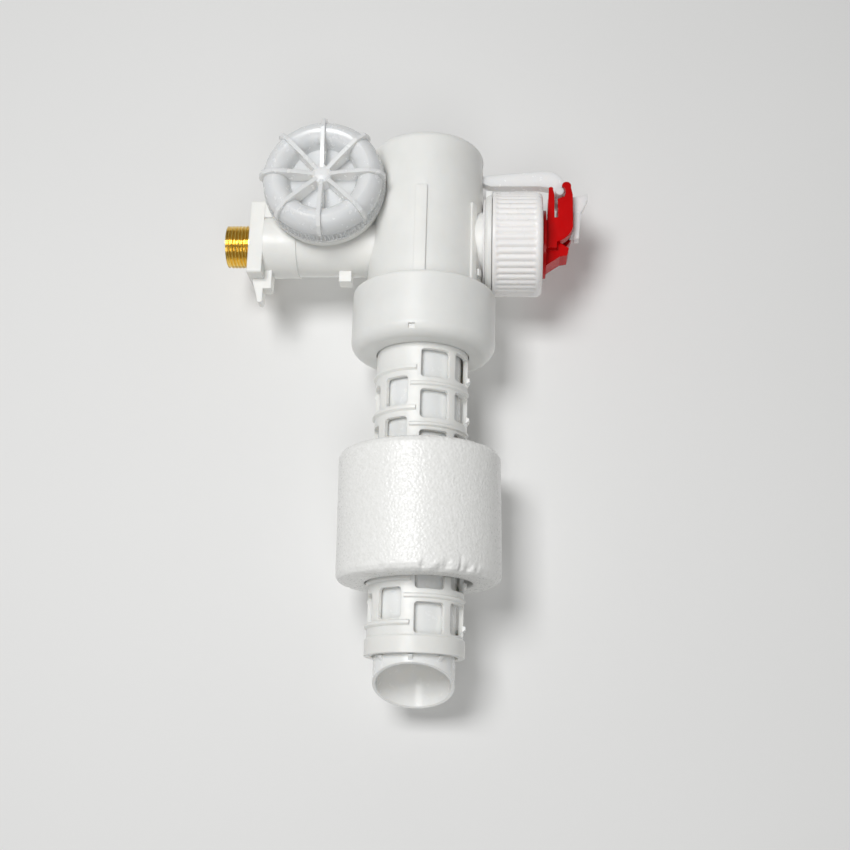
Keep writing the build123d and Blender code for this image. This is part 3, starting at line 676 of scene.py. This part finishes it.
@dataclass
class FoamFloat:
    """The bead foam sleeve with its worn rims and torn lower edge.

    Attributes:
        palette: The finishes.
        outer: Outer radius, in millimetres.
        bore: Radius of the hole, in millimetres.
        half: Half of the height, in millimetres.
        bevel: Width of the softened rims, in millimetres.
        lean: How far the sleeve leans about Y.
    """

    palette: Palette
    outer: float = 30.2
    bore: float = 19.6
    half: float = 24.05
    bevel: float = 2.4
    lean: float = math.radians(1.0)

    TORN_ARC: ClassVar[tuple[float, float]] = (2.0, 48.0)
    TORN: ClassVar[float] = 1.0
    SOUND: ClassVar[float] = 0.35
    LOW_RIM: ClassVar[float] = 4.5
    TOP_RIM: ClassVar[float] = 3.0
    CHIP_DEPTH: ClassVar[float] = 2.6
    TOP_CHIP_DEPTH: ClassVar[float] = 0.8
    SLIT_AT: ClassVar[float] = 33.0
    SLIT_WIDTH: ClassVar[float] = 1.3
    SLIT_HEIGHT: ClassVar[float] = 6.5
    SLIT_DEPTH: ClassVar[float] = 1.3
    STEPS: ClassVar[int] = 480
    EDGE: ClassVar[float] = 0.5

    def surface_wear(self, spot: Vector) -> float:
        """Depth of the soft dents, creases and grains at a spot on the wall.

        Args:
            spot: Point on the wall, in millimetres.

        Returns:
            The depth in millimetres.
        """
        gaps, _ = noise.voronoi(spot * 0.33)
        crease = max(0.0, 1.0 - (gaps[1] - gaps[0]) * 4.0)
        return 0.14 + noise.noise(spot * 0.06) * 0.14 + 0.03 * crease + 0.03 * noise.noise(spot * 0.8)

    def worn_radius(self, angle: float, along: float, radius: float) -> float:
        """Wear the outer wall: soft dents, chipped rims, a torn arc and a slit.

        Args:
            angle: Angle about the axis; zero faces the front.
            along: Height above the middle.
            radius: Radius of the new foam.

        Returns:
            The worn radius.
        """
        if radius < self.bore + 0.5:
            return radius
        spot = Vector((math.sin(angle), math.cos(angle), along * 0.033)) * 30.0
        wear = self.surface_wear(spot)
        turn = (math.degrees(angle) + 180.0) % 360.0 - 180.0
        above_base, below_top = along + self.half, self.half - along
        chip = noise.noise(Vector((angle * 9.0, along * 0.2, 3.0))) + 0.5 * noise.noise(spot * 0.5)
        torn = self.TORN if self.TORN_ARC[0] < turn < self.TORN_ARC[1] else self.SOUND
        rim = max(0.0, 1.0 - above_base / self.LOW_RIM)
        wear += rim * max(0.0, chip + 0.25 * torn) * self.CHIP_DEPTH * torn
        slit = math.exp(-((turn - self.SLIT_AT) / self.SLIT_WIDTH) ** 2)
        wear += self.SLIT_DEPTH * slit * max(0.0, 1.0 - above_base / self.SLIT_HEIGHT)
        top = max(0.0, 1.0 - below_top / self.TOP_RIM)
        wear += top * max(0.0, chip) * self.TOP_CHIP_DEPTH
        return radius - max(0.0, wear)

    def build(self) -> None:
        """Make the float and put it in place of the smooth CAD sleeve."""
        inner, outer, half, cut = self.bore, self.outer, self.half, self.bevel
        soft = cut * 0.35
        corners = [
            (-half, inner), (-half, outer - cut), (-half + soft, outer - soft), (-half + cut, outer),
            (half - cut, outer), (half - soft, outer - soft), (half, outer - cut), (half, inner),
        ]
        item = lathe("bead_foam_float", Turn.Z, Vector((0, 0, 0)), resampled(corners, self.EDGE),
                     self.STEPS, self.worn_radius)
        place = Matrix.Translation(middle("foam_float") * MM)
        item.matrix_world = place @ Matrix.Rotation(-self.lean, 4, "Y")
        self.palette.dress(item, "foam")
        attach(item, "float")
        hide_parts("foam_float")


@dataclass
class WheelKnurl:
    """Fine finger grip round the stop wheel's base; all lengths are in millimetres.

    Attributes:
        palette: The finishes.
        teeth: Number of teeth.
        crest: Radius over the teeth.
        root: Radius between the teeth.
        inner: Radius of the band's inside.
        back: Where the band starts along Y.
        front: Where it ends along Y.
    """

    palette: Palette
    teeth: int = 96
    crest: float = 23.4
    root: float = 22.85
    inner: float = 22.6
    back: float = -17.3
    front: float = -22.4

    STEPS: ClassVar[int] = 768
    EDGE: ClassVar[float] = 0.8

    def tooth_radius(self, angle: float, along: float, radius: float) -> float:
        """Cut the gaps between the teeth into the outer wall.

        Args:
            angle: Angle about the axis.
            along: Distance along the axis; not used, as the gaps are the same all along it.
            radius: Radius of the plain wall.

        Returns:
            The radius with the teeth.
        """
        if radius < self.root + 0.05:
            return radius
        wave = 0.5 + 0.5 * math.cos(angle * self.teeth)
        return self.root + (radius - self.root) * wave

    def build(self) -> None:
        """Make the knurled band."""
        corners = [
            (self.back, self.inner), (self.back, self.crest), (self.front + 0.6, self.crest - 0.1),
            (self.front, self.root), (self.front, self.inner),
        ]
        hub = middle("stop_wheel")
        centre = Vector((hub.x, 0, hub.z))
        item = lathe("wheel_knurl", Turn.Y, centre, resampled(corners, self.EDGE), self.STEPS,
                     self.tooth_radius)
        self.palette.dress(item, "clear_moulding")
        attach(item, "wheel")


@dataclass(frozen=True)
class Lamp:
    """A square soft light aimed at a point.

    Attributes:
        name: Name of the light.
        place: Where it stands, in metres.
        size: Length of its side, in metres.
        power: Its power in watts.
        target: The point it is aimed at, in metres.
    """

    name: str
    place: tuple[float, float, float]
    size: float
    power: float
    target: tuple[float, float, float] = (0.07, 0.0, -0.06)

    def build(self) -> None:
        """Add the light."""
        data = bpy.data.lights.new(self.name, "AREA")
        data.shape = "SQUARE"
        data.size = self.size
        data.energy = self.power
        item = bpy.data.objects.new(self.name, data)
        item.location = self.place
        aim = Vector(self.target) - Vector(self.place)
        item.rotation_euler = aim.to_track_quat("-Z", "Y").to_euler()
        bpy.context.scene.collection.objects.link(item)


LAMPS = (
    Lamp("key", (-0.12, -0.78, 0.06), 0.28, 4.1),
    Lamp("low", (0.10, -0.60, -0.46), 0.30, 0.9, target=(0.07, 0.0, -0.15)),
    Lamp("rear", (0.2, 1.1, 0.3), 0.9, 4.2),
)


@dataclass
class Studio:
    """Backdrop, lights, world and camera.

    Attributes:
        backdrop_y: Where the backdrop stands along Y, in metres.
        reach: Half of the backdrop's side, in metres.
        room_strength: Strength of the surrounding light.
        lens: Focal length of the camera, in millimetres.
    """

    backdrop_y: float = 0.0312
    reach: float = 1.4
    room_strength: float = 0.23
    lens: float = 52.2

    PAPER_LIGHT: ClassVar[Colour] = (0.82, 0.82, 0.815)
    PAPER_DARK: ClassVar[Colour] = (0.80, 0.80, 0.795)
    ROOM: ClassVar[Colour] = (1.0, 1.0, 0.985)
    CAMERA_AT: ClassVar[Vector] = Vector((0.09845, -0.4418, -0.2049))
    CAMERA_RIGHT: ClassVar[Vector] = Vector((0.998, 0.057, 0.0267))
    CAMERA_AHEAD: ClassVar[Vector] = Vector((-0.0623, 0.9561, 0.2861))

    def paper(self) -> bpy.types.Material:
        """Make the backdrop's pale paper, which is clear from behind."""
        graph = Graph("backdrop_paper")
        surface = graph.surface
        tone = graph.ramp(graph.noise(4.0), self.PAPER_DARK, self.PAPER_LIGHT)
        graph.link(tone, surface.inputs["Base Color"])
        surface.inputs["Roughness"].default_value = 0.8
        graph.link(graph.bump(graph.noise(1500.0), 0.02 * MM, 0.3), surface.inputs["Normal"])
        clear = graph.add("ShaderNodeBsdfTransparent")
        mix = graph.add("ShaderNodeMixShader")
        graph.link(graph.add("ShaderNodeNewGeometry").outputs["Backfacing"], mix.inputs[0])
        graph.link(surface.outputs[0], mix.inputs[1])
        graph.link(clear.outputs[0], mix.inputs[2])
        graph.link(mix.outputs[0], graph.tree.nodes["Material Output"].inputs["Surface"])
        return graph.material

    def backdrop(self) -> None:
        """Add the vertical sheet just behind the valve."""
        y, r = self.backdrop_y, self.reach
        corners = [Vector((-r, y, -r)), Vector((r, y, -r)), Vector((r, y, r)), Vector((-r, y, r))]
        item = mesh_object("backdrop", corners, [(0, 1, 2, 3)])
        item.data.materials.append(self.paper())
        item.visible_shadow = False

    def world(self) -> None:
        """Set an even, pale surrounding light."""
        world = bpy.data.worlds.new("room")
        world.use_nodes = True
        shade = world.node_tree.nodes["Background"]
        shade.inputs["Color"].default_value = (*self.ROOM, 1.0)
        shade.inputs["Strength"].default_value = self.room_strength
        bpy.context.scene.world = world

    def camera(self) -> None:
        """Add the camera, below the valve's middle and looking slightly up."""
        data = bpy.data.cameras.new("camera")
        data.lens = self.lens
        data.sensor_width = 36.0
        data.clip_start = 0.01
        item = bpy.data.objects.new("camera", data)
        ahead = self.CAMERA_AHEAD.normalized()
        up = self.CAMERA_RIGHT.normalized().cross(ahead).normalized()
        right = ahead.cross(up).normalized()
        turn = Matrix((right, up, -ahead)).transposed().to_4x4()
        item.matrix_world = Matrix.Translation(self.CAMERA_AT) @ turn
        bpy.context.scene.collection.objects.link(item)
        bpy.context.scene.camera = item

    def build(self) -> None:
        """Add everything that is not part of the valve."""
        self.backdrop()
        self.world()
        self.camera()
        for lamp in LAMPS:
            lamp.build()
        bpy.context.scene.view_settings.view_transform = "Standard"


def main() -> None:
    """Dress the frame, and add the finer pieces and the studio."""
    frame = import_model()
    palette = Palette()
    palette.dress_nodes(frame)
    palette.dress_riser(frame)
    for part in (InletThread(palette), RibbedNut(palette), FoamFloat(palette), WheelKnurl(palette)):
        log.info("building %s", type(part).__name__)
        part.build()
    Studio().build()


if __name__ == "__main__":
    main()
